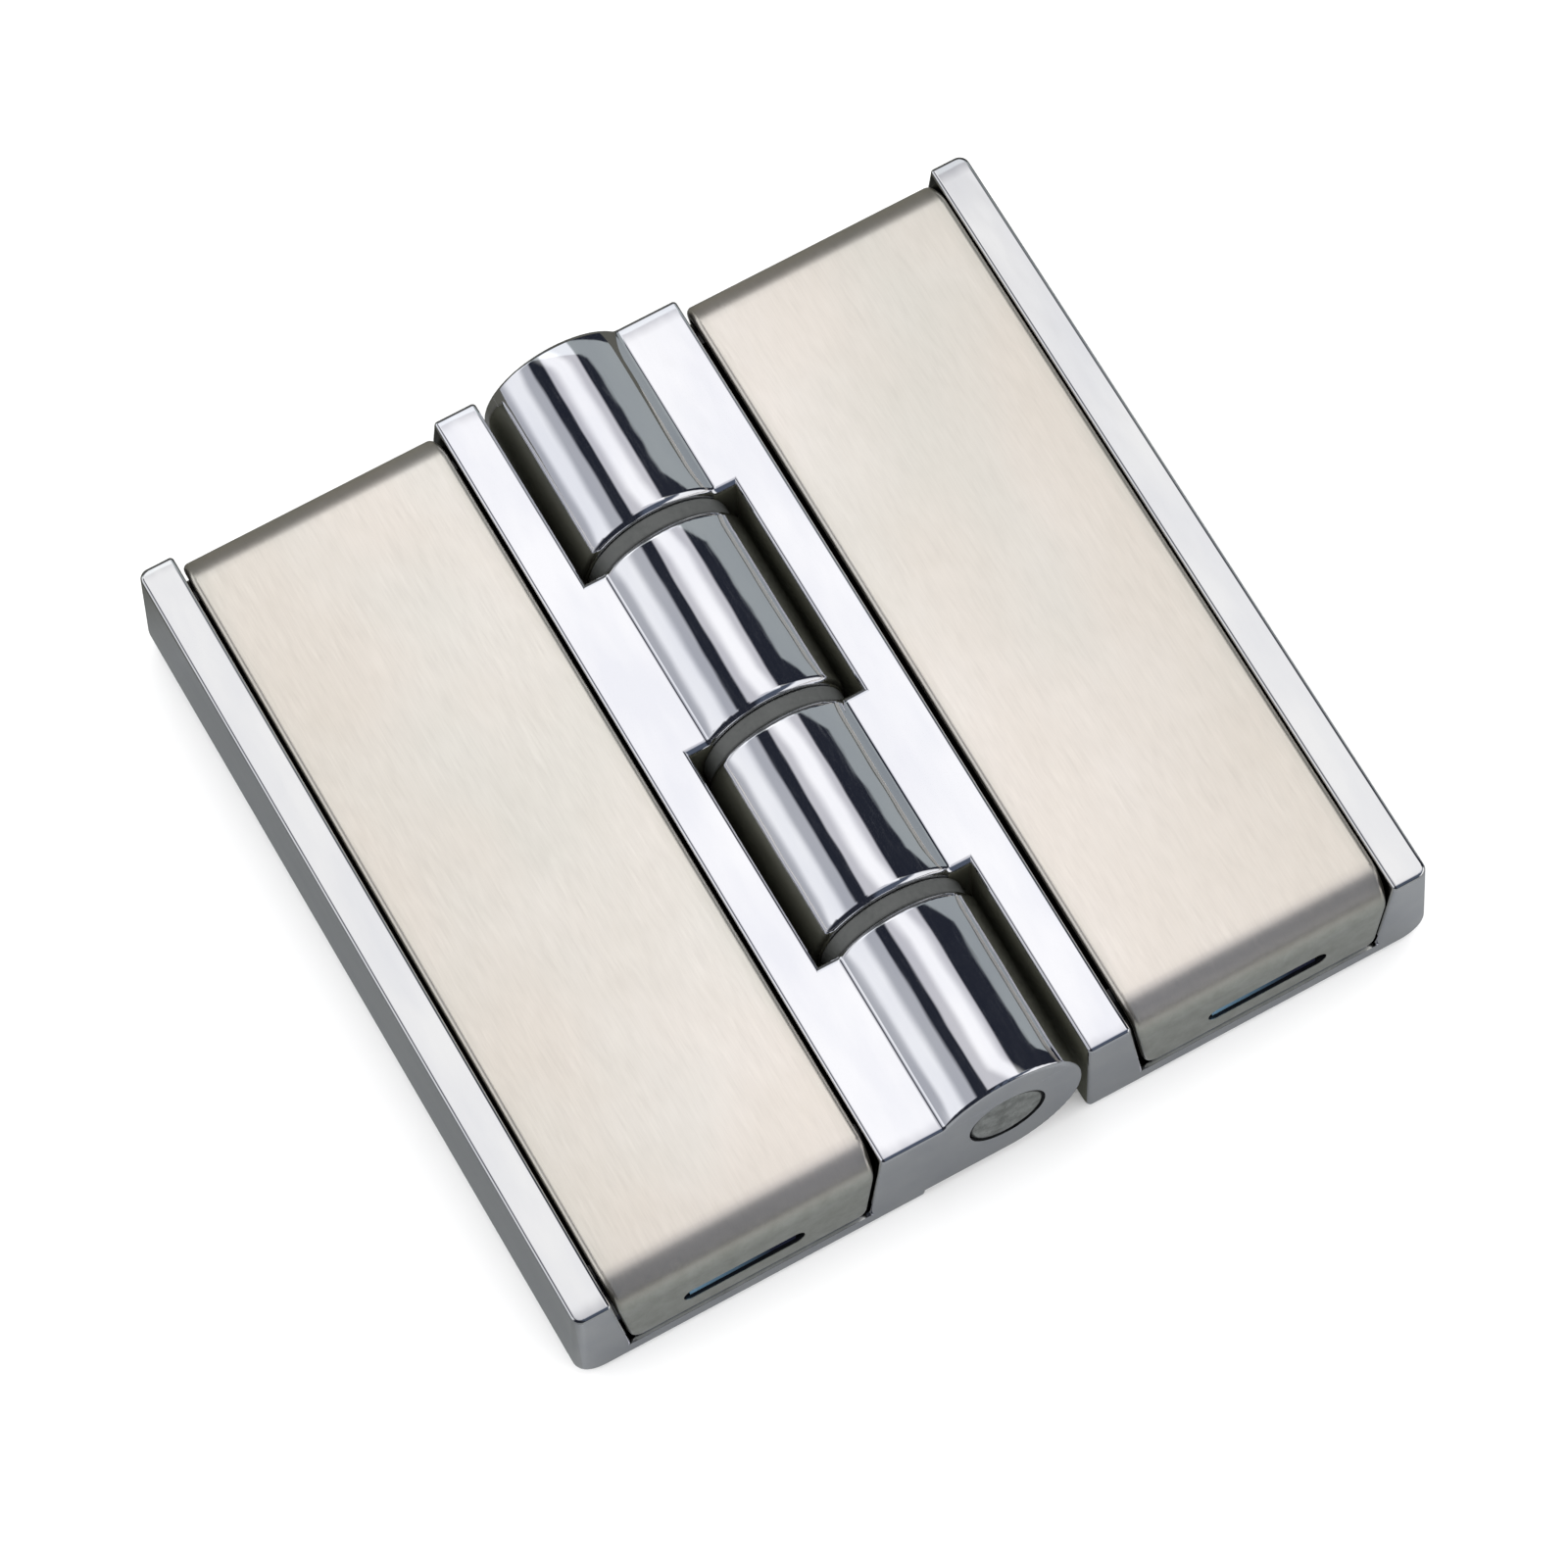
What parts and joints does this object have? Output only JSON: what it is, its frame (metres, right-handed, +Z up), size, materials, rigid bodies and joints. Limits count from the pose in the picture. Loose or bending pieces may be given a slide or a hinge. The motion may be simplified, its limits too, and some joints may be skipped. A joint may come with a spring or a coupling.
{
  "type": "door hinge",
  "caption": "Surface-mounted door hinge: cast chromed leaves with interleaved knuckles on a pin, and brushed clip-on covers over countersunk screw holes.",
  "frame": {"origin": "on the mounting plane, under the middle of the pin", "axes": "+X across the leaves towards the right leaf, +Y along the pin, +Z up out of the mounting plane, with the hinge open flat"},
  "size_m": [0.0678, 0.065, 0.013],
  "materials": {
    "chromed_casting": "polished chrome plating on a zinc casting",
    "brushed_cover": "fine brushed stainless sheet, grain along the pin",
    "pin_steel": "matte cut steel",
    "washer_plastic": "matte dark grey acetal"
  },
  "bodies": {
    "left_half": {"leaf_left": "chromed_casting", "cover_left": "brushed_cover", "hinge_pin": "pin_steel", "thrust_washer_1": "washer_plastic", "thrust_washer_2": "washer_plastic", "thrust_washer_3": "washer_plastic"},
    "right_half": {"leaf_right": "chromed_casting", "cover_right": "brushed_cover"}
  },
  "joints": [
    {"name": "leaf_fold", "type": "hinge", "parent": "left_half", "child": "right_half", "pos_m": [0, 0, 0.007], "axis": [0, -1, 0], "range_deg": [-85, 120]}
  ]
}
